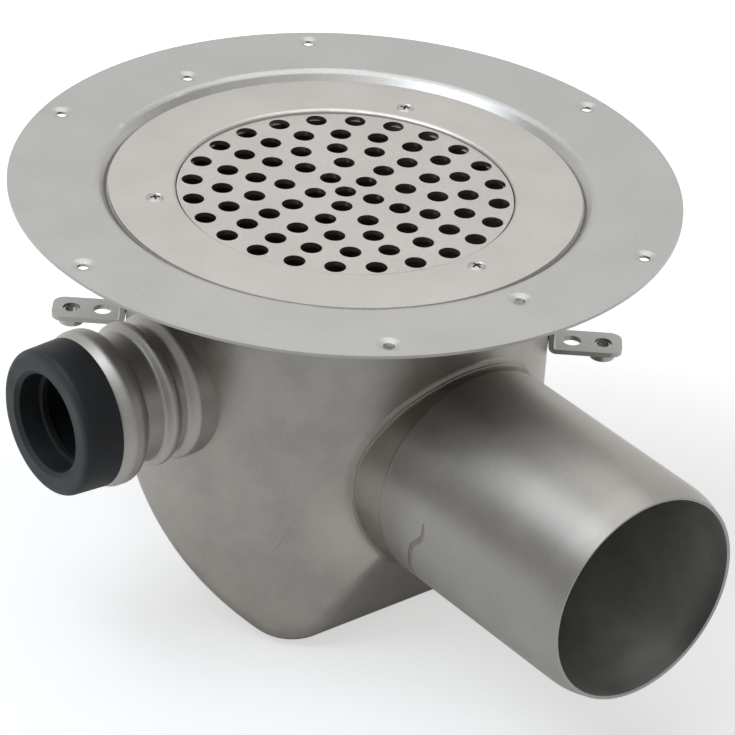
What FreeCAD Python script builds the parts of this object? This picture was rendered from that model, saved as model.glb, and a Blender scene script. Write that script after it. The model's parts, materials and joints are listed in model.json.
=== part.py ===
"""Stainless floor drain for a clamped sheet floor, with a side outlet and a side inlet.

The frame has +Z up and +X along the outlet. Its origin is the centre of the flange's underside,
which lies on the subfloor. All sizes are in millimetres and all angles in degrees.
"""
import FreeCAD, Part
import math
import os

# Sheet and tube walls
FLANGE_SHEET = 1.5
BOWL_SHEET = 1.5
OUTLET_WALL = 1.5
SOCKET_WALL = 1.5
RING_SHEET = 2.0
GRATING_SHEET = 2.5
LUG_SHEET = 2.5
TRAP_WALL = 3.0

# Flange, dished to take the clamp ring
FLANGE_RIM_WIDTH = 42.8
FIX_HOLE_DIA = 5.5
FIX_HOLE_TO_EDGE = 10.5
FIX_HOLE_COUNT = 6
FIX_HOLE_START = 30.0
LINE_HOLE_TO_EDGE = 31.0
LINE_HOLE_COUNT = 2
DIMPLE_DIA = 10.0
DIMPLE_DEPTH = 1.0
DIMPLE_BEND = 9.0
DIMPLE_ROLL_WIDTH = 2.0
DIMPLE_ROLL_DROP = 0.08
SEAT_DEPTH = 5.25
STEP_WIDTH = 4.8
STEP_TOP_BEND = 4.5
STEP_FOOT_BEND = 1.0
SEAT_OPENING_GAP = 1.8

# Clamp ring and the grating that lies in it
RING_WIDTH = 32.6
RING_TO_STEP = 0.9
RING_POCKET_BEND = 2.2
GRATING_DIA = 163.0
GRATING_GAP = 0.4
GRATING_DROP = 1.6
LEDGE_WIDTH = 2.7
PERFORATION_DIA = 10.4
PERFORATION_TO_EDGE = 1.95
PERFORATION_COUNTS = (1, 5, 9, 15, 20, 24)
HALF_TURNED_RINGS = (2, 4)
GRATING_START = -116.0

# Clamp screws with raised countersunk heads, and the nuts welded under the seat
SCREW_TO_POCKET = 11.2
SCREW_COUNT = 3
SCREW_START = 4.0
SCREW_THREAD_DIA = 4.0
SCREW_HEAD_DIA = 8.0
SCREW_HEAD_RISE = 0.9
SCREW_SINK = 0.3
SCREW_LENGTH = 12.0
SCREW_GAP = 0.1
SCREW_SEAT_GAP = 0.5
RECESS_WIDTH = 1.2
RECESS_SPAN = 5.0
RECESS_DEPTH = 1.5
CLAMP_NUT_DIA = 9.0
CLAMP_NUT_HEIGHT = 6.0
CLAMP_NUT_TO_BOWL = 4.9

# Bowl: a vertical cylinder closed by a long heel slope and a short front slope
HEEL_SLOPE = 31.5
FRONT_SLOPE = 70.0
KEEL_INSIDE_GRATING = 9.7
KEEL_BELOW_OUTLET = 106.5
KEEL_RADIUS = 22.0
BOWL_EDGE_RADIUS = 12.0

# Outlet along +X: a collar drawn out of the bowl and a pipe welded to its end
OUTLET_DIA = 110.0
OUTLET_DEPTH = 107.7
OUTLET_LENGTH = 131.0
COLLAR_LENGTH = 4.6
COLLAR_DRAFT = 3.0
COLLAR_ROOT_BEND = 4.0
MOUTH_DRAW = 2.7
MOUTH_LENGTH = 9.0
MOUTH_BEND = 40.0

# Inlet socket along -Y, with two rolled beads; places are from the bowl's wall
INLET_DEPTH = 80.0
SOCKET_DIA = 64.0
SOCKET_LENGTH = 48.5
ROOT_RISE = 4.0
ROOT_LENGTH = 4.5
ROOT_TAPER = 3.5
VALLEY_BEND = 2.0
SMALL_BEAD_HEIGHT = 3.7
SMALL_BEAD_PLACE = 17.0
SMALL_BEAD_CREST = 3.0
SMALL_BEAD_WIDTH = 8.5
SMALL_BEAD_BEND = 2.4
LARGE_BEAD_HEIGHT = 6.4
LARGE_BEAD_PLACE = 39.5
LARGE_BEAD_CREST = 7.0
LARGE_BEAD_RISE = 4.5
LARGE_BEAD_BEND = 5.0
LIP_HEIGHT = 3.0

# Rubber seal pushed into the socket
SEAL_OVERHANG = 1.7
SEAL_DRAFT = 0.9
SEAL_LENGTH = 20.0
SEAL_EDGE = 4.0
SEAL_BORE_DIA = 48.6
SEAL_BORE_LENGTH = 11.0
SEAL_BORE_CHAMFER = 2.0
SEAL_LIP_HEIGHT = 2.8
SEAL_LIP_LENGTH = 3.0
SEAL_SLEEVE_GAP = 0.7
SEAL_SLEEVE_LENGTH = 16.0
SEAL_SLEEVE_WALL = 4.3
SEAL_SEAT_GAP = 0.4

# Fixing lugs: an upright tab on the bowl's wall and a level foot with a hole and a press nut
LUG_ANGLE = 50.5
LUG_DEPTH = 79.5
LUG_WIDTH = 20.0
LUG_LENGTH = 36.6
LUG_TAB_HEIGHT = 30.0
LUG_BEND = 4.0
LUG_CORNER = 6.0
LUG_HOLE_DIA = 9.2
LUG_HOLE_PLACE = 11.8
LUG_NUT_PLACE = 27.2
LUG_NUT_HOLE_DIA = 8.6
LUG_NUT_DIA = 12.5
LUG_NUT_HEIGHT = 5.0
LUG_NUT_SHANK = 1.6
LUG_NUT_THREAD_DIA = 6.0

# Trap insert: a barrel with a plug in the outlet and a leg that dips into the sump
TRAP_BARREL_STEP = 3.0
TRAP_LEG_DIA = 64.0
TRAP_LEG_TO_PLUG = 9.5
TRAP_LEG_TO_BACK = 2.5
TRAP_FLOOR_GAP = 12.0
TRAP_PLUG_OUTSIDE = 26.0
TRAP_PLUG_INSIDE = 16.0
TRAP_PLUG_GAP = 1.5
TRAP_PLUG_WALL = 6.0
TRAP_WEIR_DROP = 5.0
TRAP_HANDLE_SPAN = 44.0
TRAP_HANDLE_DIA = 8.0
TRAP_HANDLE_TO_BACK = 33.0
TRAP_RING_SECTION = 4.0
TRAP_RING_TO_END = 11.0

# Levels and radii worked out from the driving dimensions
FLANGE_TOP = FLANGE_SHEET
SEAT_TOP = FLANGE_TOP - SEAT_DEPTH
SEAT_UNDERSIDE = SEAT_TOP - FLANGE_SHEET
RING_TOP = SEAT_TOP + RING_SHEET
SCREW_HEAD_LEVEL = RING_TOP - SCREW_SINK
GRATING_TOP = RING_TOP - GRATING_DROP
LEDGE_TOP = GRATING_TOP - GRATING_SHEET
GRATING_RADIUS = GRATING_DIA / 2
POCKET_RADIUS = GRATING_RADIUS + GRATING_GAP
RING_RADIUS = POCKET_RADIUS + RING_WIDTH
STEP_FOOT_RADIUS = RING_RADIUS + RING_TO_STEP
FLANGE_RADIUS = STEP_FOOT_RADIUS + STEP_WIDTH + FLANGE_RIM_WIDTH
SCREW_PLACE = POCKET_RADIUS + SCREW_TO_POCKET
BOWL_RADIUS = SCREW_PLACE + CLAMP_NUT_DIA / 2 + CLAMP_NUT_TO_BOWL + BOWL_SHEET
OUTLET_RADIUS = OUTLET_DIA / 2
OUTLET_BORE = OUTLET_RADIUS - OUTLET_WALL
OUTLET_Z = FLANGE_TOP - OUTLET_DEPTH
OUTLET_REACH = BOWL_RADIUS + OUTLET_LENGTH
COLLAR_END = BOWL_RADIUS + COLLAR_LENGTH
KEEL_Z = OUTLET_Z - KEEL_BELOW_OUTLET
KEEL_OFFSET = GRATING_RADIUS - KEEL_INSIDE_GRATING
SOCKET_RADIUS = SOCKET_DIA / 2
SOCKET_BORE = SOCKET_RADIUS - SOCKET_WALL
SOCKET_REACH = BOWL_RADIUS + SOCKET_LENGTH
LIP_RADIUS = SOCKET_RADIUS + LIP_HEIGHT
INLET_Z = FLANGE_TOP - INLET_DEPTH
LUG_TOP = FLANGE_TOP - LUG_DEPTH
LUG_UNDERSIDE = LUG_TOP - LUG_SHEET
TRAP_PLUG_START = BOWL_RADIUS - TRAP_PLUG_INSIDE
TRAP_PLUG_END = BOWL_RADIUS + TRAP_PLUG_OUTSIDE
TRAP_PLUG_RADIUS = OUTLET_BORE - TRAP_PLUG_GAP
TRAP_RING_PLACE = TRAP_PLUG_END - TRAP_RING_TO_END
TRAP_BARREL_RADIUS = TRAP_PLUG_RADIUS - TRAP_BARREL_STEP
TRAP_LEG_PLACE = TRAP_PLUG_START - TRAP_LEG_TO_PLUG - TRAP_LEG_DIA / 2
TRAP_BACK = TRAP_LEG_PLACE - TRAP_LEG_DIA / 2 - TRAP_LEG_TO_BACK

# Lengths that only make a tool body reach clear of what it cuts
CLEAR = 10.0

X_AXIS = FreeCAD.Vector(1, 0, 0)
Y_AXIS = FreeCAD.Vector(0, 1, 0)
Z_AXIS = FreeCAD.Vector(0, 0, 1)
ORIGIN = FreeCAD.Vector(0, 0, 0)


def unit(start, end):
    """Direction from one point of an outline to another."""
    length = math.hypot(end[0] - start[0], end[1] - start[1])
    return (end[0] - start[0]) / length, (end[1] - start[1]) / length


def offset_path(path, distance):
    """Move an open (u, v, bend) path to its left, as the other face of a bent sheet."""
    moved = []
    last = len(path) - 1
    for index, (u, v, bend) in enumerate(path):
        before = unit(path[index - 1], path[index]) if index > 0 else unit(path[0], path[1])
        after = unit(path[index], path[index + 1]) if index < last else before
        turn = before[0] * after[1] - before[1] * after[0]
        square = 1 + before[0] * after[0] + before[1] * after[1]
        shift_u = -(before[1] + after[1]) / square * distance
        shift_v = (before[0] + after[0]) / square * distance
        side = math.copysign(1, turn) if bend else 0
        moved.append((u + shift_u, v + shift_v, max(bend - side * distance, 0)))
    return moved


def sheet_outline(path, thickness):
    """Closed outline of a bent sheet that lies to the left of the path of one face."""
    return list(path) + offset_path(path, thickness)[::-1]


def outline_face(corners, place):
    """Face inside (u, v, bend) corners, each rounded by its bend; place maps (u, v) to space."""
    stretches = []
    count = len(corners)
    for index, (u, v, bend) in enumerate(corners):
        if not bend:
            stretches.append(((u, v), None, (u, v)))
            continue
        back = unit((u, v), corners[index - 1])
        ahead = unit((u, v), corners[(index + 1) % count])
        half = math.acos(back[0] * ahead[0] + back[1] * ahead[1]) / 2
        reach = bend / math.tan(half)
        middle = unit((0, 0), (back[0] + ahead[0], back[1] + ahead[1]))
        depth = bend / math.sin(half) - bend
        stretches.append((
            (u + back[0] * reach, v + back[1] * reach),
            (u + middle[0] * depth, v + middle[1] * depth),
            (u + ahead[0] * reach, v + ahead[1] * reach),
        ))
    edges = []
    for index, (start, middle, end) in enumerate(stretches):
        if middle:
            edges.append(Part.Arc(place(*start), place(*middle), place(*end)).toShape())
        following = stretches[(index + 1) % count][0]
        edges.append(Part.LineSegment(place(*end), place(*following)).toShape())
    return Part.Face(Part.Wire(edges))


def turned_about_z(corners):
    """Solid of revolution from (radius, height) corners."""
    face = outline_face(corners, lambda radius, height: FreeCAD.Vector(radius, 0, height))
    return face.revolve(ORIGIN, Z_AXIS, 360)


def turned_about_x(corners, height):
    """Solid of revolution from (distance, radius) corners about a level axis along X."""
    face = outline_face(
        corners, lambda distance, radius: FreeCAD.Vector(distance, 0, height + radius))
    return face.revolve(FreeCAD.Vector(0, 0, height), X_AXIS, 360)


def upright_cylinder(radius, bottom, top, x=0.0):
    return Part.makeCylinder(radius, top - bottom, FreeCAD.Vector(x, 0, bottom), Z_AXIS)


def level_cylinder(radius, start, end, height):
    return Part.makeCylinder(radius, end - start, FreeCAD.Vector(start, 0, height), X_AXIS)


def spun(shape, angle):
    """Copy of a shape turned about the drain's axis."""
    copy = shape.copy()
    copy.rotate(ORIGIN, Z_AXIS, angle)
    return copy


def ring_angles(count, start):
    return [start + 360.0 * step / count for step in range(count)]


def dimple_tools():
    """The swelling under a pressed dimple, and the hollow and hole above it."""
    hole = FIX_HOLE_DIA / 2
    floor = FLANGE_TOP - DIMPLE_DEPTH
    rim = DIMPLE_DIA / 2 + DIMPLE_ROLL_WIDTH
    top_face = [
        (rim, FLANGE_TOP + DIMPLE_ROLL_DROP, 0),
        (DIMPLE_DIA / 2, FLANGE_TOP - DIMPLE_ROLL_DROP, DIMPLE_BEND),
        (hole, floor, 0),
    ]
    under_face = offset_path(top_face, FLANGE_SHEET)
    middle = FLANGE_TOP - FLANGE_SHEET / 2
    under_rim = under_face[0][0]
    under_floor = under_face[-1][1]
    swell = turned_about_z(under_face + [(0, under_floor, 0), (0, middle, 0), (under_rim, middle, 0)])
    above = FLANGE_TOP + CLEAR
    hollow = turned_about_z(top_face + [(0, floor, 0), (0, above, 0), (rim, above, 0)])
    return swell, hollow.fuse(upright_cylinder(hole, -CLEAR, above))


def make_flange():
    """Pressed flange: rim, sloping step and the seat that the clamp ring lies on."""
    top_face = [
        (FLANGE_RADIUS, FLANGE_TOP, 0),
        (STEP_FOOT_RADIUS + STEP_WIDTH, FLANGE_TOP, STEP_TOP_BEND),
        (STEP_FOOT_RADIUS, SEAT_TOP, STEP_FOOT_BEND),
        (POCKET_RADIUS + RING_SHEET + SEAT_OPENING_GAP, SEAT_TOP, 0),
    ]
    flange = turned_about_z(sheet_outline(top_face, FLANGE_SHEET))
    outer_ring = FLANGE_RADIUS - FIX_HOLE_TO_EDGE
    inner_pair = FLANGE_RADIUS - LINE_HOLE_TO_EDGE
    places = [(outer_ring, angle) for angle in ring_angles(FIX_HOLE_COUNT, FIX_HOLE_START)]
    places += [(inner_pair, angle) for angle in ring_angles(LINE_HOLE_COUNT, 0.0)]
    swell, hollow = dimple_tools()
    for radius, angle in places:
        shift = FreeCAD.Vector(radius, 0, 0)
        flange = flange.fuse(spun(swell.translated(shift), angle))
        flange = flange.cut(spun(hollow.translated(shift), angle))
    screw_hole = upright_cylinder(
        SCREW_THREAD_DIA / 2 + SCREW_SEAT_GAP, SEAT_UNDERSIDE - CLEAR, SEAT_TOP + CLEAR, SCREW_PLACE)
    for angle in ring_angles(SCREW_COUNT, SCREW_START):
        flange = flange.cut(spun(screw_hole, angle))
    return flange


def make_clamp_ring():
    """Flat ring with a pressed pocket for the grating and countersunk screw holes."""
    top_face = [
        (RING_RADIUS, RING_TOP, 0),
        (POCKET_RADIUS, RING_TOP, RING_POCKET_BEND),
        (POCKET_RADIUS, LEDGE_TOP, 0),
        (POCKET_RADIUS - GRATING_GAP - LEDGE_WIDTH, LEDGE_TOP, 0),
    ]
    ring = turned_about_z(sheet_outline(top_face, RING_SHEET))
    sink = clamp_screw_body(RING_TOP, SCREW_GAP)
    for angle in ring_angles(SCREW_COUNT, SCREW_START):
        ring = ring.cut(spun(sink, angle))
    return ring


def clamp_screw_body(top, gap):
    """Countersunk head up to a level and shank at the first screw place, grown by a gap."""
    shank = SCREW_THREAD_DIA / 2 + gap
    neck = SCREW_HEAD_LEVEL - (SCREW_HEAD_DIA - SCREW_THREAD_DIA) / 2
    tip = SCREW_HEAD_LEVEL - SCREW_LENGTH
    corners = [
        (0, top, 0),
        (shank + top - neck, top, 0),
        (shank, neck, 0),
        (shank, tip, 0),
        (0, tip, 0),
    ]
    return turned_about_z(corners).translated(FreeCAD.Vector(SCREW_PLACE, 0, 0))


def make_clamp_screws():
    """Three raised countersunk screws with cross recesses."""
    head = SCREW_HEAD_DIA / 2
    crown = (head ** 2 + SCREW_HEAD_RISE ** 2) / (2 * SCREW_HEAD_RISE)
    head_top = SCREW_HEAD_LEVEL + SCREW_HEAD_RISE
    ball = Part.makeSphere(crown, FreeCAD.Vector(SCREW_PLACE, 0, head_top - crown))
    cap = upright_cylinder(head, SCREW_HEAD_LEVEL, head_top + CLEAR, SCREW_PLACE).common(ball)
    screw = clamp_screw_body(SCREW_HEAD_LEVEL, 0).fuse(cap).removeSplitter()
    for length, width in ((RECESS_SPAN, RECESS_WIDTH), (RECESS_WIDTH, RECESS_SPAN)):
        corner = FreeCAD.Vector(SCREW_PLACE - length / 2, -width / 2, head_top - RECESS_DEPTH)
        screw = screw.cut(Part.makeBox(length, width, CLEAR, corner))
    return Part.makeCompound([spun(screw, angle) for angle in ring_angles(SCREW_COUNT, SCREW_START)])


def make_clamp_nuts():
    """Round nuts welded under the seat, one for each clamp screw."""
    bottom = SEAT_UNDERSIDE - CLAMP_NUT_HEIGHT
    nut = upright_cylinder(CLAMP_NUT_DIA / 2, bottom, SEAT_UNDERSIDE, SCREW_PLACE)
    bore = upright_cylinder(
        SCREW_THREAD_DIA / 2 + SCREW_GAP, bottom - CLEAR, SEAT_UNDERSIDE + CLEAR, SCREW_PLACE)
    nut = nut.cut(bore)
    return Part.makeCompound([spun(nut, angle) for angle in ring_angles(SCREW_COUNT, SCREW_START)])


def make_grating():
    """Round plate with rings of round holes, every ring at the same pitch from the last."""
    plate = upright_cylinder(GRATING_RADIUS, LEDGE_TOP, GRATING_TOP)
    last_ring = GRATING_RADIUS - PERFORATION_TO_EDGE - PERFORATION_DIA / 2
    pitch = last_ring / (len(PERFORATION_COUNTS) - 1)
    holes = []
    for ring, count in enumerate(PERFORATION_COUNTS):
        start = GRATING_START + (180.0 / count if ring in HALF_TURNED_RINGS else 0.0)
        hole = upright_cylinder(
            PERFORATION_DIA / 2, LEDGE_TOP - CLEAR, GRATING_TOP + CLEAR, ring * pitch)
        holes += [spun(hole, angle) for angle in ring_angles(count, start)]
    return plate.cut(holes)


def bowl_block(inset):
    """The bowl's form as one closed block, with every face moved inwards by an inset."""
    heel = math.radians(HEEL_SLOPE)
    front = math.radians(FRONT_SLOPE)
    far = 2 * BOWL_RADIUS
    floor = [
        (-far, KEEL_Z + (KEEL_OFFSET + far) * math.tan(heel), 0),
        (KEEL_OFFSET, KEEL_Z, KEEL_RADIUS),
        (far, KEEL_Z + (far - KEEL_OFFSET) * math.tan(front), 0),
    ]
    floor = offset_path(floor, inset)
    corners = floor + [(floor[-1][0], SEAT_UNDERSIDE, 0), (floor[0][0], SEAT_UNDERSIDE, 0)]
    side = outline_face(corners, lambda x, z: FreeCAD.Vector(x, -far, z))
    wedge = side.extrude(FreeCAD.Vector(0, 2 * far, 0))
    block = upright_cylinder(BOWL_RADIUS - inset, KEEL_Z - CLEAR, SEAT_UNDERSIDE).common(wedge)
    if inset >= BOWL_EDGE_RADIUS:
        return block
    rim = [
        edge for edge in block.Edges
        if not isinstance(edge.Curve, Part.Line) and edge.BoundBox.ZMax < SEAT_UNDERSIDE - CLEAR
    ]
    return block.makeFillet(BOWL_EDGE_RADIUS - inset, rim)


def with_outlet(block, radius, end, bend):
    """A bowl block with the outlet's drafted collar joined to it by a rounded root.

    The radius is that of the collar's end, where the pipe meets it.
    """
    start = BOWL_RADIUS / 2
    draft = math.tan(math.radians(COLLAR_DRAFT))
    wide = radius + (COLLAR_END - start) * draft
    narrow = radius + (COLLAR_END - end) * draft
    stub = Part.makeCone(
        wide, narrow, end - start, FreeCAD.Vector(start, 0, OUTLET_Z), X_AXIS)
    joined = block.fuse(stub).removeSplitter()
    root = []
    for edge in joined.Edges:
        sides = joined.ancestorsOfType(edge, Part.Face)
        drafted = [side for side in sides if isinstance(side.Surface, Part.Cone)]
        if len(sides) == 2 and len(drafted) == 1 and not isinstance(edge.Curve, Part.Circle):
            root.append(edge)
    return joined.makeFillet(bend, root)


def make_bowl(outside):
    """Bowl sheet with a collar drawn out for the outlet, a hole for the inlet and an open top."""
    skin = with_outlet(outside, OUTLET_RADIUS, COLLAR_END, COLLAR_ROOT_BEND)
    bore = OUTLET_RADIUS - BOWL_SHEET
    hollow = with_outlet(bowl_block(BOWL_SHEET), bore, COLLAR_END + CLEAR, COLLAR_ROOT_BEND + BOWL_SHEET)
    inlet = level_cylinder(SOCKET_BORE, 0, SOCKET_REACH, INLET_Z)
    return skin.cut(hollow).cut(spun(inlet, -90))


def make_outlet_pipe():
    """Plain pipe from the collar's end, drawn in at the mouth."""
    outer_face = [
        (OUTLET_REACH, OUTLET_RADIUS - MOUTH_DRAW, 0),
        (OUTLET_REACH - MOUTH_LENGTH, OUTLET_RADIUS, MOUTH_BEND),
        (COLLAR_END, OUTLET_RADIUS, 0),
    ]
    return turned_about_x(sheet_outline(outer_face, OUTLET_WALL), OUTLET_Z)


def make_inlet_socket(bowl_outside):
    """Rolled socket with two beads, saddle-cut to the bowl."""
    neck = SOCKET_RADIUS
    root = neck + ROOT_RISE
    root_end = BOWL_RADIUS + ROOT_LENGTH
    small_crest = neck + SMALL_BEAD_HEIGHT
    small_rise = (SMALL_BEAD_WIDTH - SMALL_BEAD_CREST) / 2
    small_start = BOWL_RADIUS + SMALL_BEAD_PLACE - SMALL_BEAD_WIDTH / 2
    small_end = small_start + SMALL_BEAD_WIDTH
    large_crest = neck + LARGE_BEAD_HEIGHT
    large_start = BOWL_RADIUS + LARGE_BEAD_PLACE - LARGE_BEAD_CREST / 2
    large_end = large_start + LARGE_BEAD_CREST
    outer_face = [
        (SOCKET_REACH, LIP_RADIUS, 0),
        (large_end, large_crest, LARGE_BEAD_BEND),
        (large_start, large_crest, LARGE_BEAD_BEND),
        (large_start - LARGE_BEAD_RISE, neck, VALLEY_BEND),
        (small_end, neck, VALLEY_BEND),
        (small_end - small_rise, small_crest, SMALL_BEAD_BEND),
        (small_start + small_rise, small_crest, SMALL_BEAD_BEND),
        (small_start, neck, VALLEY_BEND),
        (root_end + ROOT_TAPER, neck, VALLEY_BEND),
        (root_end, root, SMALL_BEAD_BEND),
        (BOWL_RADIUS / 2, root, 0),
    ]
    socket = turned_about_x(sheet_outline(outer_face, SOCKET_WALL), INLET_Z)
    return spun(socket, -90).cut(bowl_outside)


def make_inlet_seal():
    """Rubber seal: a collar outside the socket, a lip and a sleeve inside it."""
    front = SOCKET_REACH + SEAL_LENGTH
    bore = SEAL_BORE_DIA / 2
    lip_front = front - SEAL_BORE_CHAMFER - SEAL_BORE_LENGTH
    lip_back = lip_front - SEAL_LIP_LENGTH
    sleeve_end = SOCKET_REACH - SEAL_SLEEVE_LENGTH
    collar = LIP_RADIUS + SEAL_OVERHANG
    lip = bore - SEAL_LIP_HEIGHT
    sleeve = SOCKET_BORE - SEAL_SLEEVE_GAP
    sleeve_bore = sleeve - SEAL_SLEEVE_WALL
    mouth_bore = LIP_RADIUS - SOCKET_WALL - SEAL_SEAT_GAP
    corners = [
        (SOCKET_REACH, collar, 0),
        (front, collar - SEAL_DRAFT, SEAL_EDGE),
        (front, bore + SEAL_BORE_CHAMFER, 0),
        (front - SEAL_BORE_CHAMFER, bore, 0),
        (lip_front, bore, 0),
        (lip_front, lip, 0),
        (lip_back, lip, 0),
        (lip_back - SEAL_LIP_LENGTH, sleeve_bore, 0),
        (sleeve_end, sleeve_bore, 0),
        (sleeve_end, sleeve, 0),
        (SOCKET_REACH - SEAL_LIP_LENGTH, mouth_bore, 0),
        (SOCKET_REACH, mouth_bore, 0),
    ]
    return spun(turned_about_x(corners, INLET_Z), -90)


def make_lug(angle):
    """Folded lug: an upright tab on the bowl's wall and a level foot that points outwards."""
    tip = BOWL_RADIUS + LUG_LENGTH
    bowl_side = [
        (BOWL_RADIUS, LUG_TOP + LUG_TAB_HEIGHT, 0),
        (BOWL_RADIUS, LUG_UNDERSIDE, LUG_BEND),
        (tip, LUG_UNDERSIDE, 0),
    ]
    face = outline_face(
        sheet_outline(bowl_side, LUG_SHEET), lambda u, z: FreeCAD.Vector(u, -LUG_WIDTH / 2, z))
    lug = face.extrude(FreeCAD.Vector(0, LUG_WIDTH, 0))
    ends = [
        edge for edge in lug.Edges
        if edge.BoundBox.XMin > tip - LUG_CORNER and edge.BoundBox.YLength < LUG_CORNER
    ]
    lug = lug.makeFillet(LUG_CORNER, ends)
    for diameter, place in ((LUG_HOLE_DIA, LUG_HOLE_PLACE), (LUG_NUT_HOLE_DIA, LUG_NUT_PLACE)):
        lug = lug.cut(upright_cylinder(
            diameter / 2, LUG_UNDERSIDE - CLEAR, LUG_TOP + CLEAR, BOWL_RADIUS + place))
    return spun(lug, angle)


def make_lug_nuts(angles):
    """Press nuts: a round body under each lug's foot and a shank in its hole."""
    bottom = LUG_UNDERSIDE - LUG_NUT_HEIGHT
    shank_top = LUG_UNDERSIDE + LUG_NUT_SHANK
    corners = [
        (LUG_NUT_THREAD_DIA / 2, bottom, 0),
        (LUG_NUT_DIA / 2, bottom, 0),
        (LUG_NUT_DIA / 2, LUG_UNDERSIDE, 0),
        (LUG_NUT_HOLE_DIA / 2, LUG_UNDERSIDE, 0),
        (LUG_NUT_HOLE_DIA / 2, shank_top, 0),
        (LUG_NUT_THREAD_DIA / 2, shank_top, 0),
    ]
    nut = turned_about_z(corners).translated(FreeCAD.Vector(BOWL_RADIUS + LUG_NUT_PLACE, 0, 0))
    return Part.makeCompound([spun(nut, angle) for angle in angles])


def clear_of_floor():
    """The room inside the bowl that the trap may fill, so that water gets under its leg."""
    return bowl_block(BOWL_SHEET + TRAP_FLOOR_GAP)


def make_trap_barrel():
    """Level barrel with a closed back and a hole for the leg."""
    barrel = level_cylinder(TRAP_BARREL_RADIUS, TRAP_BACK, TRAP_PLUG_START, OUTLET_Z)
    barrel = barrel.common(clear_of_floor())
    chamber = level_cylinder(
        TRAP_BARREL_RADIUS - TRAP_WALL, TRAP_BACK + TRAP_WALL, TRAP_PLUG_END, OUTLET_Z)
    passage = upright_cylinder(TRAP_LEG_DIA / 2 - TRAP_WALL, KEEL_Z, OUTLET_Z, TRAP_LEG_PLACE)
    return barrel.cut(chamber).cut(passage)


def make_trap_plug():
    """Plug in the outlet's bore, with a groove for the ring and a weir that holds the water back."""
    plug = level_cylinder(TRAP_PLUG_RADIUS, TRAP_PLUG_START, TRAP_PLUG_END, OUTLET_Z)
    bore = level_cylinder(
        TRAP_PLUG_RADIUS - TRAP_PLUG_WALL, TRAP_PLUG_START - CLEAR, TRAP_PLUG_END + CLEAR, OUTLET_Z)
    weir_foot = FreeCAD.Vector(
        TRAP_PLUG_START, -OUTLET_RADIUS, OUTLET_Z - TRAP_WEIR_DROP - OUTLET_DIA)
    weir = Part.makeBox(TRAP_WALL, OUTLET_DIA, OUTLET_DIA, weir_foot)
    groove_start = TRAP_RING_PLACE - TRAP_RING_SECTION / 2
    groove = level_cylinder(OUTLET_DIA, groove_start, groove_start + TRAP_RING_SECTION, OUTLET_Z)
    core = level_cylinder(OUTLET_BORE - TRAP_RING_SECTION, TRAP_PLUG_START, TRAP_PLUG_END, OUTLET_Z)
    return plug.cut(bore.cut(weir)).cut(groove.cut(core))


def make_trap_leg():
    """Dip leg, saddle-cut to the barrel and trimmed along the bowl's floor."""
    outer = TRAP_LEG_DIA / 2
    tube = upright_cylinder(outer, KEEL_Z, OUTLET_Z, TRAP_LEG_PLACE)
    passage = upright_cylinder(outer - TRAP_WALL, KEEL_Z, OUTLET_Z, TRAP_LEG_PLACE)
    barrel = level_cylinder(TRAP_BARREL_RADIUS, 0, OUTLET_REACH, OUTLET_Z)
    return tube.cut(passage).common(clear_of_floor()).cut(barrel)


def make_trap_handle():
    """Bail on top of the barrel, to lift the trap out by."""
    foot = OUTLET_Z + TRAP_BARREL_RADIUS - TRAP_WALL
    place = FreeCAD.Vector(TRAP_BACK + TRAP_HANDLE_TO_BACK, 0, foot)
    loop = Part.makeTorus(TRAP_HANDLE_SPAN / 2, TRAP_HANDLE_DIA / 2, place, Y_AXIS)
    return loop.cut(level_cylinder(TRAP_BARREL_RADIUS, 0, OUTLET_REACH, OUTLET_Z))


def make_trap_ring():
    """Rubber ring in the plug's groove, sealing against the outlet's bore."""
    return Part.makeTorus(
        OUTLET_BORE - TRAP_RING_SECTION / 2, TRAP_RING_SECTION / 2,
        FreeCAD.Vector(TRAP_RING_PLACE, 0, OUTLET_Z), X_AXIS)


def main():
    os.makedirs("parts", exist_ok=True)
    bowl_outside = bowl_block(0)
    lug_angles = {"fixing_lug_right": LUG_ANGLE, "fixing_lug_left": LUG_ANGLE + 180}
    nodes = {
        "flange": make_flange(),
        "bowl": make_bowl(bowl_outside),
        "outlet_pipe": make_outlet_pipe(),
        "inlet_socket": make_inlet_socket(bowl_outside),
        "inlet_seal": make_inlet_seal(),
        "lug_nuts": make_lug_nuts(lug_angles.values()),
        "clamp_ring": make_clamp_ring(),
        "clamp_screws": make_clamp_screws(),
        "clamp_nuts": make_clamp_nuts(),
        "grating": make_grating(),
        "trap_barrel": make_trap_barrel(),
        "trap_plug": make_trap_plug(),
        "trap_leg": make_trap_leg(),
        "trap_handle": make_trap_handle(),
        "trap_ring": make_trap_ring(),
    }
    for name, angle in lug_angles.items():
        nodes[name] = make_lug(angle)
    for name, shape in nodes.items():
        shape.exportStep("parts/" + name + ".step")
        print(name, "solids", len(shape.Solids), "valid", shape.isValid(), "volume", round(shape.Volume, 1))


main()
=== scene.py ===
"""The looks of the floor drain: steel, rubber and plastic materials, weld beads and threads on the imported
solids, a pale studio, and a camera at the photograph's angle. Sizes on the part are in millimetres, turned
to metres by MM. Those of the studio are in metres."""

import json
import math

import bmesh
import bpy
from mathutils import Matrix, Vector


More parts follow.
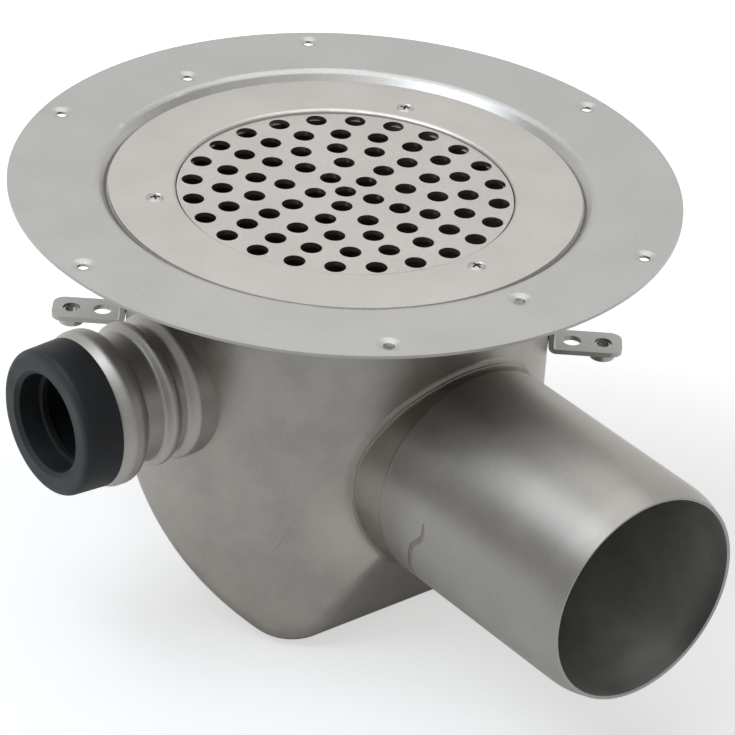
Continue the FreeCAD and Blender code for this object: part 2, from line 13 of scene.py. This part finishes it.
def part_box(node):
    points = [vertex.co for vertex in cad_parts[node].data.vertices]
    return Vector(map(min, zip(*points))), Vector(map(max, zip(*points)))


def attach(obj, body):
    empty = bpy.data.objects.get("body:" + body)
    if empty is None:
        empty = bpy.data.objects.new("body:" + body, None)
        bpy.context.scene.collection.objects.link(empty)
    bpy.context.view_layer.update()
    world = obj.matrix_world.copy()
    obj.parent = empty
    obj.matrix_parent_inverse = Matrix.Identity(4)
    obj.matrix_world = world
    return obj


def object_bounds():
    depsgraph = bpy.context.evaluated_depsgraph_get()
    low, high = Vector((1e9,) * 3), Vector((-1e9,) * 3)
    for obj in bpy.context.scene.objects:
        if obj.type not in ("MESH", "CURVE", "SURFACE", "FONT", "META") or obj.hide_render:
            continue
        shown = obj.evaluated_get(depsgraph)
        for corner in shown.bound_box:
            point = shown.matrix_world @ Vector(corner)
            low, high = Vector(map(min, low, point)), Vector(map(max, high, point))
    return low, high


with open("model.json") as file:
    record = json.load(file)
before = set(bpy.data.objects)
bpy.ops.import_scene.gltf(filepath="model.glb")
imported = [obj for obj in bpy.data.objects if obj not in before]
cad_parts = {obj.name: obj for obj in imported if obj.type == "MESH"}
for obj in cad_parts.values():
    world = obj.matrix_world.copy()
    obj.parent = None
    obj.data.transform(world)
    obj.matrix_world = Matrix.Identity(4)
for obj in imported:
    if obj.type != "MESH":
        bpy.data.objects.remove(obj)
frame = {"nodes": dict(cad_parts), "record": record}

CAD_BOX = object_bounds()
MM = 0.001
BODY = "root"
X_AXIS = (1, 0, 0)
Y_AXIS = (0, 1, 0)
Z_AXIS = (0, 0, 1)
ACROSS_OUTLET = (0, 1, 1)
WHITE = (1, 1, 1, 1)

# Camera, as fitted to the circles of the flange, the ring and the pipe
TURN = math.radians(50.5)
TILT = math.radians(30.86)
ROLL = math.radians(3.82)
AIM = Vector((43.66, -14.93, -75.48)) * MM
DISTANCE = 1908.3 * MM
PICTURE = 735
FOCAL_PIXELS = 3953
SENSOR = 36

# Places on the solids, read from the frame
MOUNTS = {mount["name"]: mount for mount in frame["record"]["mounts"]}
OUTLET_Z = MOUNTS["outlet_spigot"]["pos_m"][2] / MM
OUTLET_RADIUS = MOUNTS["outlet_spigot"]["dims"]["r_mm"]
COLLAR_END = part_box("outlet_pipe")[0].x / MM
OUTLET_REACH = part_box("outlet_pipe")[1].x / MM
BOWL_RADIUS = -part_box("bowl")[0].x / MM
SEAT_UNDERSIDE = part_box("flange")[0].z / MM

# Weld beads: how deep they are sunk, the steps of their section and how the ends of an open one run out,
# then the points round a closed one and its ripple
BEAD_SINK = 0.08
BEAD_PROFILE = 10
BEAD_EASE = 0.3
BEAD_POINTS = 720
BEAD_PITCH = 2.2
WELD_RIPPLE = 0.3

# Ground seam between the collar and the pipe
SEAM_WIDTH = 4.0
SEAM_HEIGHT = 0.18
SEAM_RIPPLE = 0.06

# Weld line in the collar's root, which wanders in a slow and a quick wave
ROOT_WIDTH = 2.0
ROOT_HEIGHT = 0.26
ROOT_RISE = 1.0
ROOT_WANDER = 0.12
ROOT_SLOW_WAVES = 11
ROOT_QUICK_WAVES = 29
ROOT_QUICK_SHIFT = 1.0
ROOT_SMOOTH = 8

# Weld mark on the pipe: places along X, and degrees from the pipe's top towards -Y
MARK_WIDTH = 3.6
MARK_HEIGHT = 0.55
MARK_LINE = ((140.0, 82.0), (140.8, 88.5), (138.5, 92.5), (133.5, 97.0),
             (130.3, 105.0), (128.3, 112.0), (125.5, 119.5), (124.5, 128.0))
MARK_ROUNDS = 4
CORNER_CUT = 0.25

# Faint line on the bowl's wall: degrees from +X and levels, each from its upper to its lower end
LINE_WIDTH = 4.0
LINE_HEIGHT = 0.42
LINE_EASE = 1.0
LINE_POINTS = 60
LINE_ANGLES = (-42.5, -56.0)
LINE_LEVELS = (-109.0, -159.0)

# Bead in the corner under the seat
CORNER_WIDTH = 3.4
CORNER_HEIGHT = 1.1

# Threads in the press nuts
THREAD_PITCH = 1.0
THREAD_FILL = 0.9
THREAD_DEPTH = 0.5
THREAD_POINTS = 36

# Noise: the values between which it acts, and the detail and roughness of each kind
NOISE_START = 0.3
NOISE_END = 0.7
BLOTCH_NOISE = (4.0, 0.55)
PATCH_NOISE = (5.0, 0.6)
GRAIN_NOISE = (2.0, 0.5)
DUST_NOISE = (4.0, 0.6)
MOULD_NOISE = (3.0, 0.5)

# Sheet steel: tinted patches inside the blotches, speckle, and how far the gloss varies
PATCH_SHARE = 0.37
PATCH_TINT = 0.5
PATCH_LIMITS = (0.45, 0.75)
SPECKLE = (0.93, 1.05)
BLOTCH_GLOSS = (-0.03, 0.03)
GRAIN_GLOSS = (-0.04, 0.04)

# Rubber and plastic: dusty patches and how far the gloss varies
DUST_SIZE = 14.0
DUST_LIMITS = (0.35, 0.7)
DUST_GLOSS = (-0.05, 0.08)
MOULD_GLOSS = (-0.05, 0.05)
MOULD_SPECULAR = 0.4

# Painted regions: their colours, and the slopes of the faces where they set in
# Painted shade on the flange's underside
UNDERSIDE_SHADE_COLOUR = (0.27, 0.265, 0.25)
UNDERSIDE_SHADE_SLOPE = (-0.6, -0.2)
# A lighter colour on the front of the seal
SEAL_FRONT_COLOUR = (0.052, 0.059, 0.06)
SEAL_FRONT_SLOPE = (-0.95, -0.6)
# Painted light in the outlet pipe's bore
BORE_LIGHT_COLOUR = (0.46, 0.455, 0.435)

# Painted shade on the collar and the pipe by the outlet's weld, a warm painted highlight on the bowl's wall
# beside them
JUNCTION_SHADE_COLOUR = (0.12, 0.1, 0.08)
JUNCTION_SHADE_AMOUNT = 0.35
PIPE_SHADE_SPAN = (110.0, 140.0)
COLLAR_SPAN = (56.0, 60.0)
COLLAR_START = 60.0
BOWL_HIGHLIGHT_COLOUR = (0.58, 0.56, 0.47)
BOWL_HIGHLIGHT_AMOUNT = 0.5
BOWL_HIGHLIGHT_SPAN = (58.0, 85.0)
BOWL_HIGHLIGHT_DROP = (-135.0, -100.0)
BOWL_HIGHLIGHT_SLOPE = (-0.22, -0.06)

# Finish of the pipe, drawn round its axis
PIPE_ANISOTROPY = 0.8
QUARTER_TURN = 0.25

# Studio
FLOOR_SIZE = 12.0
FLOOR_ALBEDO = 0.84
FLOOR_ROUGHNESS = 0.9
FLOOR_GLOW = (0.23, 0.88)
FLOOR_GLOW_SPAN = (-0.5, 0.6)
FLOOR_WHITE = 0.57
FLOOR_SHADE_REACH = 0.08
WORLD_FILL = 0.15
WORLD_WHITE = 1.0
WALL_NEAR = 0.5
WALL_SPAN = (0.1, 0.6)
CEILING_SPAN = (0.6, 0.95)


def metres(lengths):
    """Lengths in millimetres as metres."""
    return [length * MM for length in lengths]


def between(start, end, share):
    """The number at a share of the way from start to end."""
    return start + (end - start) * share


def fill(tree, made, inputs):
    """Fills a node's inputs: a socket is linked, a value is set."""
    for key, value in inputs.items():
        if isinstance(value, bpy.types.NodeSocket):
            tree.links.new(value, made.inputs[key])
        else:
            made.inputs[key].default_value = value


def node(tree, kind, inputs=None, **settings):
    """Adds a shader node, sets its fields and fills its inputs."""
    made = tree.nodes.new(kind)
    for field, value in settings.items():
        setattr(made, field, value)
    fill(tree, made, inputs or {})
    return made


def math_node(tree, operation, first, second, clamp=False):
    """One step of arithmetic on two numbers or sockets."""
    made = node(tree, "ShaderNodeMath", {0: first, 1: second}, operation=operation, use_clamp=clamp)
    return made.outputs[0]


def product(tree, first, *others):
    """Numbers or sockets multiplied together."""
    for other in others:
        first = math_node(tree, "MULTIPLY", first, other)
    return first


def vector_node(tree, operation, inputs, output="Vector"):
    """One step of arithmetic on vectors or sockets."""
    filled = dict(enumerate(inputs))
    return node(tree, "ShaderNodeVectorMath", filled, operation=operation).outputs[output]


def along(tree, vector, way):
    """How far a vector reaches along a way."""
    return vector_node(tree, "DOT_PRODUCT", (vector, way), output="Value")


def place_of(tree):
    """The point's place in the part's frame, in metres."""
    return node(tree, "ShaderNodeTexCoord").outputs["Object"]


def normal_of(tree):
    """The way that the face looks."""
    return node(tree, "ShaderNodeNewGeometry").outputs["Normal"]


def noise(tree, place, size, detail, rough, stretch=(1, 1, 1)):
    """Soft noise with features of about size millimetres, longer along the axes with a small stretch."""
    scaled = node(tree, "ShaderNodeMapping", {"Vector": place, "Scale": stretch}).outputs[0]
    inputs = {"Vector": scaled, "Scale": 1 / (size * MM), "Detail": detail, "Roughness": rough}
    return node(tree, "ShaderNodeTexNoise", inputs).outputs[0]


def spread(tree, value, low, high, start=NOISE_START, end=NOISE_END):
    """Maps a value smoothly to low..high as it goes from start to end."""
    inputs = {"Value": value, "From Min": start, "From Max": end, "To Min": low, "To Max": high}
    return node(tree, "ShaderNodeMapRange", inputs, interpolation_type="SMOOTHSTEP").outputs[0]


def blend(tree, factor, first, second, mode="MIX"):
    """Mixes two colours."""
    made = node(tree, "ShaderNodeMix", {"Factor": factor}, data_type="RGBA", blend_type=mode)
    for socket, value in zip([s for s in made.inputs if s.type == "RGBA"], (first, second)):
        if isinstance(value, bpy.types.NodeSocket):
            tree.links.new(value, socket)
        else:
            socket.default_value = (*value, 1)
    return [s for s in made.outputs if s.type == "RGBA"][0]


def bump(tree, height, depth):
    """A bump of depth millimetres."""
    inputs = {"Height": height, "Distance": depth * MM, "Strength": 1.0}
    return node(tree, "ShaderNodeBump", inputs).outputs[0]


def new_material(name):
    """A new node material, with its tree and its main shader."""
    made = bpy.data.materials.new(name)
    made.use_nodes = True
    return made, made.node_tree, made.node_tree.nodes["Principled BSDF"]


def steel(name, light, dark, tint, roughness, blotch, grain, grain_depth, stretch=(1, 1, 1)):
    """Sheet steel: slow blotches from light to dark with a tint, and a fine grain that varies the gloss."""
    made, tree, shader = new_material(name)
    place = place_of(tree)
    slow = noise(tree, place, blotch, *BLOTCH_NOISE)
    patch = noise(tree, place, blotch * PATCH_SHARE, *PATCH_NOISE)
    fine = noise(tree, place, grain, *GRAIN_NOISE, stretch)
    colour = blend(tree, spread(tree, slow, 0.0, 1.0), dark, light)
    colour = blend(tree, spread(tree, patch, 0.0, PATCH_TINT, *PATCH_LIMITS), colour, tint)
    speckle = spread(tree, fine, *SPECKLE)
    grey = node(tree, "ShaderNodeCombineColor", {0: speckle, 1: speckle, 2: speckle}).outputs[0]
    colour = blend(tree, 1.0, colour, grey, mode="MULTIPLY")
    varied = math_node(tree, "ADD", spread(tree, slow, *BLOTCH_GLOSS), spread(tree, fine, *GRAIN_GLOSS))
    fill(tree, shader, {
        "Base Color": colour,
        "Metallic": 1.0,
        "Roughness": math_node(tree, "ADD", varied, roughness),
        "Normal": bump(tree, fine, grain_depth),
    })
    return made, tree, shader


def moulded(name, dark, dusty, roughness, grain, grain_depth):
    """Moulded rubber or plastic: a fine moulded grain with dull, dusty patches."""
    made, tree, shader = new_material(name)
    place = place_of(tree)
    slow = noise(tree, place, DUST_SIZE, *DUST_NOISE)
    fine = noise(tree, place, grain, *MOULD_NOISE)
    gloss = math_node(tree, "ADD", spread(tree, slow, *DUST_GLOSS), roughness)
    fill(tree, shader, {
        "Base Color": blend(tree, spread(tree, slow, 0.0, 1.0, *DUST_LIMITS), dark, dusty),
        "Roughness": math_node(tree, "ADD", gloss, spread(tree, fine, *MOULD_GLOSS)),
        "Normal": bump(tree, fine, grain_depth),
        "Specular IOR Level": MOULD_SPECULAR,
    })
    return made, tree, shader


def paint_where(tree, shader, factor, colour):
    """Mixes a colour over the shader's own where factor is 1."""
    before = shader.inputs["Base Color"].links[0].from_socket
    fill(tree, shader, {"Base Color": blend(tree, factor, before, colour)})


def underside_shade_mask(tree):
    """1 on faces that look down, where shade is painted."""
    return spread(tree, along(tree, normal_of(tree), Z_AXIS), 1.0, 0.0, *UNDERSIDE_SHADE_SLOPE)


def seal_front(tree):
    """1 on faces that look out along the inlet, which are made lighter."""
    return spread(tree, along(tree, normal_of(tree), Y_AXIS), 1.0, 0.0, *SEAL_FRONT_SLOPE)


def from_outlet_axis(tree):
    """The way straight out from the outlet's axis to the point."""
    axis = Vector((0, 0, OUTLET_Z)) * MM
    offset = vector_node(tree, "SUBTRACT", (place_of(tree), axis))
    return vector_node(tree, "MULTIPLY", (offset, ACROSS_OUTLET))


def outlet_distance(tree):
    """How far the point lies from the outlet's axis, in metres."""
    return vector_node(tree, "LENGTH", (from_outlet_axis(tree),), output="Value")


def pipe_bore(tree):
    """1 on the inside of the outlet pipe."""
    return math_node(tree, "LESS_THAN", along(tree, from_outlet_axis(tree), normal_of(tree)), 0.0)


def outlet_collar(tree):
    """1 on the bowl's collar round the outlet pipe."""
    ahead = math_node(tree, "GREATER_THAN", along(tree, place_of(tree), X_AXIS), COLLAR_START * MM)
    near = spread(tree, outlet_distance(tree), 1.0, 0.0, *metres(COLLAR_SPAN))
    return product(tree, ahead, near)


def below_collar(tree):
    """1 on the bowl's side wall close to the lower half of the outlet's collar."""
    ahead = math_node(tree, "GREATER_THAN", along(tree, place_of(tree), X_AXIS), 0.0)
    low = spread(tree, along(tree, place_of(tree), Z_AXIS), 1.0, 0.0, *metres(BOWL_HIGHLIGHT_DROP))
    near = spread(tree, outlet_distance(tree), 1.0, 0.0, *metres(BOWL_HIGHLIGHT_SPAN))
    upright = spread(tree, along(tree, normal_of(tree), Z_AXIS), 0.0, 1.0, *BOWL_HIGHLIGHT_SLOPE)
    return product(tree, ahead, low, near, upright)


def flange_sheet():
    """Satin pressed sheet, with painted shade on its underside."""
    made, tree, shader = steel(
        "flange_sheet", light=(0.46, 0.455, 0.44), dark=(0.435, 0.43, 0.413), tint=(0.455, 0.443, 0.435),
        roughness=0.34, blotch=45.0, grain=0.5, grain_depth=0.006, stretch=(1, 0.35, 1))
    # Painted shade on the faces that look down
    paint_where(tree, shader, underside_shade_mask(tree), UNDERSIDE_SHADE_COLOUR)
    return made


def ring_sheet():
    """Satin sheet of the clamp ring and the grating."""
    made, _, _ = steel(
        "ring_sheet", light=(0.53, 0.51, 0.48), dark=(0.5, 0.478, 0.45), tint=(0.52, 0.497, 0.472),
        roughness=0.36, blotch=38.0, grain=0.45, grain_depth=0.006, stretch=(0.35, 1, 1))
    return made


def turned_steel():
    """Bright steel of the screws and nuts."""
    made, _, _ = steel(
        "turned_steel", light=(0.46, 0.455, 0.44), dark=(0.38, 0.375, 0.36), tint=(0.42, 0.415, 0.4),
        roughness=0.26, blotch=4.0, grain=0.25, grain_depth=0.004)
    return made


def pickled_sheet():
    """Matt sheet of the bowl, with a warm painted highlight below the outlet's collar and painted shade on
    the collar.
    """
    made, tree, shader = steel(
        "pickled_sheet", light=(0.41, 0.386, 0.35), dark=(0.335, 0.316, 0.288), tint=(0.39, 0.357, 0.33),
        roughness=0.42, blotch=24.0, grain=0.6, grain_depth=0.01)
    # A warm painted highlight on the bowl's wall below the collar, standing in for light on a fold
    paint_where(tree, shader, product(tree, below_collar(tree), BOWL_HIGHLIGHT_AMOUNT), BOWL_HIGHLIGHT_COLOUR)
    # Painted shade on the bowl's collar round the outlet pipe
    paint_where(tree, shader, product(tree, outlet_collar(tree), JUNCTION_SHADE_AMOUNT), JUNCTION_SHADE_COLOUR)
    return made


def drawn_pipe():
    """Steel of the outlet pipe, with a grain round its axis, painted light in its bore and painted shade by
    its weld.
    """
    made, tree, shader = steel(
        "drawn_pipe", light=(0.455, 0.438, 0.408), dark=(0.405, 0.39, 0.362), tint=(0.44, 0.418, 0.393),
        roughness=0.49, blotch=24.0, grain=0.6, grain_depth=0.01, stretch=(1, 0.3, 0.3))
    # Painted light in the bore, paler than the pipe's outside
    paint_where(tree, shader, pipe_bore(tree), BORE_LIGHT_COLOUR)
    # Painted shade on the pipe next to the collar, fading out between 110 and 140 mm along X
    reach = along(tree, place_of(tree), X_AXIS)
    paint_where(tree, shader, spread(tree, reach, JUNCTION_SHADE_AMOUNT, 0.0, *metres(PIPE_SHADE_SPAN)), JUNCTION_SHADE_COLOUR)
    fill(tree, shader, {
        "Tangent": node(tree, "ShaderNodeTangent", direction_type="RADIAL", axis="X").outputs[0],
        "Anisotropic": PIPE_ANISOTROPY,
        "Anisotropic Rotation": QUARTER_TURN,
    })
    return made


def rolled_sheet():
    """Steel of the inlet socket."""
    made, _, _ = steel(
        "rolled_sheet", light=(0.46, 0.438, 0.405), dark=(0.415, 0.397, 0.369), tint=(0.445, 0.418, 0.393),
        roughness=0.47, blotch=14.0, grain=0.5, grain_depth=0.008)
    return made


def lug_sheet():
    """Steel of the fixing lugs."""
    made, _, _ = steel(
        "lug_sheet", light=(0.48, 0.475, 0.455), dark=(0.42, 0.415, 0.397), tint=(0.46, 0.45, 0.435),
        roughness=0.38, blotch=12.0, grain=0.5, grain_depth=0.008)
    return made


def moulded_rubber():
    """Black rubber, lighter where it faces out of the inlet."""
    made, tree, shader = moulded(
        "moulded_rubber", dark=(0.013, 0.014, 0.0155), dusty=(0.02, 0.0215, 0.023),
        roughness=0.56, grain=0.5, grain_depth=0.03)
    paint_where(tree, shader, seal_front(tree), SEAL_FRONT_COLOUR)
    return made


def moulded_plastic():
    """Dark plastic of the trap."""
    made, _, _ = moulded(
        "moulded_plastic", dark=(0.036, 0.037, 0.038), dusty=(0.05, 0.051, 0.051),
        roughness=0.42, grain=0.9, grain_depth=0.04)
    return made


def make_materials():
    """The materials by slot, or by node where a solid has one of its own."""
    return {
        "flange_steel": flange_sheet(),
        "ring_steel": ring_sheet(),
        "screw_steel": turned_steel(),
        "body_steel": pickled_sheet(),
        "outlet_pipe": drawn_pipe(),
        "inlet_socket": rolled_sheet(),
        "lug_steel": lug_sheet(),
        "seal_rubber": moulded_rubber(),
        "trap_plastic": moulded_plastic(),
    }


def dress_solids(materials):
    """Gives every solid its own material, or the one of its slot."""
    for row in frame["record"]["subparts"]:
        solid = frame["nodes"][row["node"]]
        solid.data.materials.clear()
        solid.data.materials.append(materials.get(row["node"]) or materials[row["material_slot"]])


def linked_object(name, data):
    """A new object in the scene."""
    made = bpy.data.objects.new(name, data)
    bpy.context.scene.collection.objects.link(made)
    return made


def mesh_object(name, mesh, material):
    """A new object with a finished mesh and one material."""
    data = bpy.data.meshes.new(name)
    mesh.to_mesh(data)
    mesh.free()
    data.materials.append(material)
    return linked_object(name, data)


def piece_from(name, mesh, slot, materials):
    """Links a mesh as a piece that rides on the body and takes its finish from slot."""
    for face in mesh.faces:
        face.smooth = True
    bmesh.ops.recalc_face_normals(mesh, faces=mesh.faces)
    made = mesh_object(name, mesh, materials[slot])
    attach(made, BODY)


def bead(line, width, height, closed, ripple=0.0, taper=BEAD_EASE):
    """A low rounded ridge along a line of points and ways out, sunk a little into the face under it."""
    mesh = bmesh.new()
    points = [point for point, _ in line]
    count = len(points)
    rows = []
    length = 0.0
    for i, (point, normal) in enumerate(line):
        ahead = points[(i + 1) % count] if closed else points[min(i + 1, count - 1)]
        behind = points[i - 1] if closed else points[max(i - 1, 0)]
        side = (ahead - behind).normalized().cross(normal)
        length += (point - points[i - 1]).length if i else 0.0
        swell = 1 + ripple * math.sin(math.tau * length / BEAD_PITCH)
        ease = 1.0 if closed else math.sin(math.pi * (i + 0.5) / count) ** taper
        row = []
        for k in range(BEAD_PROFILE + 1):
            out = 1 - 2 * k / BEAD_PROFILE
            hump = 0.5 + 0.5 * math.cos(math.pi * out)
            across = side * (width / 2 * ease * out)
            rise = normal * (height * ease * swell * hump - BEAD_SINK)
            row.append(mesh.verts.new((point + across + rise) * MM))
        rows.append(row)
    pairs = list(zip(rows, rows[1:])) + ([(rows[-1], rows[0])] if closed else [])
    for first, second in pairs:
        for k in range(BEAD_PROFILE + 1):
            after = (k + 1) % (BEAD_PROFILE + 1)
            mesh.faces.new((first[k], first[after], second[after], second[k]))
    if not closed:
        mesh.faces.new(rows[0])
        mesh.faces.new(rows[-1])
    return mesh


def on_pipe(x, angle):
    """The point on the pipe at x and an angle in degrees from the top towards -Y, and the way out there."""
    out = Vector((0, -math.sin(math.radians(angle)), math.cos(math.radians(angle))))
    return Vector((x, 0, OUTLET_Z)) + out * OUTLET_RADIUS, out


def on_bowl(angle, level):
    """The point on the bowl's wall at an angle in degrees from +X and a level, and the way out there."""
    out = Vector((math.cos(math.radians(angle)), math.sin(math.radians(angle)), 0))
    return out * BOWL_RADIUS + Vector((0, 0, level)), out


def full_turn():
    """Evenly spaced angles round a closed bead, in degrees."""
    return [360 * i / BEAD_POINTS for i in range(BEAD_POINTS)]


def rounded(places, rounds):
    """Cuts the corners of an open line of pairs, again and again, until it is smooth."""
    for _ in range(rounds):
        cut = [places[0]]
        for first, second in zip(places, places[1:]):
            for share in (CORNER_CUT, 1 - CORNER_CUT):
                cut.append([between(a, b, share) for a, b in zip(first, second)])
        places = cut + [places[-1]]
    return places


def outlet_seam():
    """The ground seam where the pipe is welded to the collar."""
    line = [on_pipe(COLLAR_END, angle) for angle in full_turn()]
    return bead(line, SEAM_WIDTH, SEAM_HEIGHT, closed=True, ripple=SEAM_RIPPLE)


def outlet_mark():
    """A crooked weld mark on the pipe."""
    line = [on_pipe(x, angle) for x, angle in rounded(MARK_LINE, MARK_ROUNDS)]
    return bead(line, MARK_WIDTH, MARK_HEIGHT, closed=False)


def outlet_weld():
    """A wandering line in the rounded root of the bowl's collar, found along the pipe from outside."""
    bowl = frame["nodes"]["bowl"]
    points, faces = [], []
    for angle in full_turn():
        turn = math.radians(angle)
        waves = math.sin(ROOT_SLOW_WAVES * turn) + math.sin(ROOT_QUICK_WAVES * turn + ROOT_QUICK_SHIFT)
        base, out = on_pipe(OUTLET_REACH, angle)
        start = base + out * (ROOT_RISE + ROOT_WANDER * waves / 2)
        hit, place, face, _ = bowl.ray_cast(start * MM, -Vector(X_AXIS))
        if hit:
            points.append(place / MM)
            faces.append(face)
    count = len(points)
    normals = []
    for i in range(count):
        near = [faces[(i + k) % count] for k in range(-ROOT_SMOOTH, ROOT_SMOOTH + 1)]
        normals.append(sum(near, Vector()).normalized())
    return bead(list(zip(points, normals)), ROOT_WIDTH, ROOT_HEIGHT, closed=True, ripple=WELD_RIPPLE)


def bowl_line():
    """A faint slanting line on the bowl's wall."""
    shares = [i / (LINE_POINTS - 1) for i in range(LINE_POINTS)]
    line = [on_bowl(between(*LINE_ANGLES, share), between(*LINE_LEVELS, share)) for share in shares]
    return bead(line, LINE_WIDTH, LINE_HEIGHT, closed=False, taper=LINE_EASE)


def seat_weld():
    """The bead in the corner between the bowl's wall and the seat."""
    line = []
    for angle in full_turn():
        point, out = on_bowl(angle, SEAT_UNDERSIDE)
        line.append((point, (out - Vector(Z_AXIS)).normalized()))
    return bead(line, CORNER_WIDTH, CORNER_HEIGHT, closed=True, ripple=WELD_RIPPLE)


def make_welds(materials):
    """The weld beads and lines, each a piece of its own."""
    piece_from("outlet_seam", outlet_seam(), "body_steel", materials)
    piece_from("outlet_mark", outlet_mark(), "body_steel", materials)
    piece_from("outlet_weld", outlet_weld(), "body_steel", materials)
    piece_from("bowl_line", bowl_line(), "body_steel", materials)
    piece_from("seat_weld", seat_weld(), "body_steel", materials)


def thread(mount):
    """A thread inside a press nut, along the bore that the record's mount gives."""
    middle = Vector(mount["pos_m"]) / MM
    radius = mount["dims"]["r_mm"]
    length = mount["dims"]["length_mm"] - THREAD_PITCH
    count = int(THREAD_POINTS * length / THREAD_PITCH)
    line = []
    for i in range(count):
        angle = math.tau * i / THREAD_POINTS
        out = Vector((math.cos(angle), math.sin(angle), 0))
        rise = (i / count - 0.5) * length
        line.append((middle + out * radius + Vector((0, 0, rise)), -out))
    return bead(line, THREAD_PITCH * THREAD_FILL, THREAD_DEPTH, closed=False)


def make_threads(materials):
    """A thread in each press nut."""
    for name, mount in MOUNTS.items():
        if mount["kind"] == "threaded_hole":
            piece_from(name, thread(mount), "screw_steel", materials)


def view_axes():
    """The picture's right, the level way into the picture, and up."""
    right = Vector((math.cos(TURN), math.sin(TURN), 0))
    into = Vector((-math.sin(TURN), math.cos(TURN), 0))
    return right, into, Vector(Z_AXIS)


def camera_ray(tree):
    """1 for what the camera sees itself."""
    return node(tree, "ShaderNodeLightPath").outputs["Is Camera Ray"]


def seen_directly(tree):
    """1 for what the camera sees, also in a gloss or through glass, and 0 for light that falls on things."""
    rays = node(tree, "ShaderNodeLightPath").outputs
    first = math_node(tree, "ADD", rays["Is Camera Ray"], rays["Is Glossy Ray"])
    return math_node(tree, "ADD", first, rays["Is Transmission Ray"], clamp=True)


def pale_floor():
    """A pale material that shows brighter towards the back and keeps the part's soft shadow."""
    made, tree, shader = new_material("pale_floor")
    open_air = node(tree, "ShaderNodeAmbientOcclusion", {"Distance": FLOOR_SHADE_REACH}).outputs["AO"]
    place = node(tree, "ShaderNodeNewGeometry").outputs["Position"]
    _, into, _ = view_axes()
    glow = spread(tree, along(tree, place, into), *FLOOR_GLOW, *FLOOR_GLOW_SPAN)
    shown = product(tree, open_air, glow, seen_directly(tree))
    white = product(tree, camera_ray(tree), FLOOR_WHITE)
    fill(tree, shader, {
        "Base Color": (FLOOR_ALBEDO, FLOOR_ALBEDO, FLOOR_ALBEDO, 1),
        "Roughness": FLOOR_ROUGHNESS,
        "Specular IOR Level": 0.0,
        "Emission Color": WHITE,
        "Emission Strength": math_node(tree, "MAXIMUM", shown, white),
    })
    return made


def make_floor(height):
    """A level floor under the part."""
    mesh = bmesh.new()
    bmesh.ops.create_grid(mesh, x_segments=1, y_segments=1, size=FLOOR_SIZE / 2)
    floor = mesh_object("floor", mesh, pale_floor())
    floor.location.z = height


def make_world():
    """A white room, greyer at its near walls, that lights less than it shows. The camera sees plain white."""
    world = bpy.data.worlds.new("studio")
    world.use_nodes = True
    bpy.context.scene.world = world
    tree = world.node_tree
    way = node(tree, "ShaderNodeTexCoord").outputs["Generated"]
    _, into, _ = view_axes()
    wall = spread(tree, along(tree, way, into), WALL_NEAR, WORLD_WHITE, *WALL_SPAN)
    walls = spread(tree, along(tree, way, Z_AXIS), wall, WORLD_WHITE, *CEILING_SPAN)
    shown = math_node(tree, "MAXIMUM", walls, camera_ray(tree))
    inputs = {"Value": seen_directly(tree), "To Min": WORLD_FILL, "To Max": shown}
    strength = node(tree, "ShaderNodeMapRange", inputs).outputs[0]
    fill(tree, tree.nodes["Background"], {"Color": WHITE, "Strength": strength})


def make_panel(name, place, size, radiance, colour):
    """A soft panel at a place given as metres to the right, into the picture and up, facing the part."""
    right, into, up = view_axes()
    lamp = bpy.data.lights.new(name, "AREA")
    lamp.shape = "RECTANGLE"
    lamp.size, lamp.size_y = size
    lamp.energy = radiance * math.pi * size[0] * size[1]
    lamp.color = colour
    made = linked_object(name, lamp)
    made.location = AIM + right * place[0] + into * place[1] + up * place[2]
    made.rotation_euler = (AIM - made.location).to_track_quat("-Z", "Y").to_euler()
    made.visible_camera = False


def make_panels():
    """A broad panel overhead, and a cooler one above on the left."""
    make_panel("overhead", place=(-0.2, 0.3, 2.0), size=(2.4, 2.4), radiance=0.8, colour=(0.94, 0.97, 1.0))
    make_panel("upper_left", place=(-0.95, -0.35, 1.45), size=(1.0, 1.0), radiance=3.1,
               colour=(0.82, 0.91, 1.0))


def make_camera():
    """The photograph's camera."""
    right, into, up = view_axes()
    ahead = into * math.cos(TILT) - up * math.sin(TILT)
    above = into * math.sin(TILT) + up * math.cos(TILT)
    across = right * math.cos(ROLL) + above * math.sin(ROLL)
    over = above * math.cos(ROLL) - right * math.sin(ROLL)
    data = bpy.data.cameras.new("camera")
    data.sensor_width = SENSOR
    data.lens = SENSOR * FOCAL_PIXELS / PICTURE
    camera = linked_object("camera", data)
    turned = Matrix((across, over, -ahead)).transposed().to_4x4()
    camera.matrix_world = Matrix.Translation(AIM - ahead * DISTANCE) @ turned
    bpy.context.scene.camera = camera


materials = make_materials()
dress_solids(materials)
make_welds(materials)
make_threads(materials)
make_floor(CAD_BOX[0].z)
make_world()
make_panels()
make_camera()
bpy.context.scene.view_settings.view_transform = "Standard"
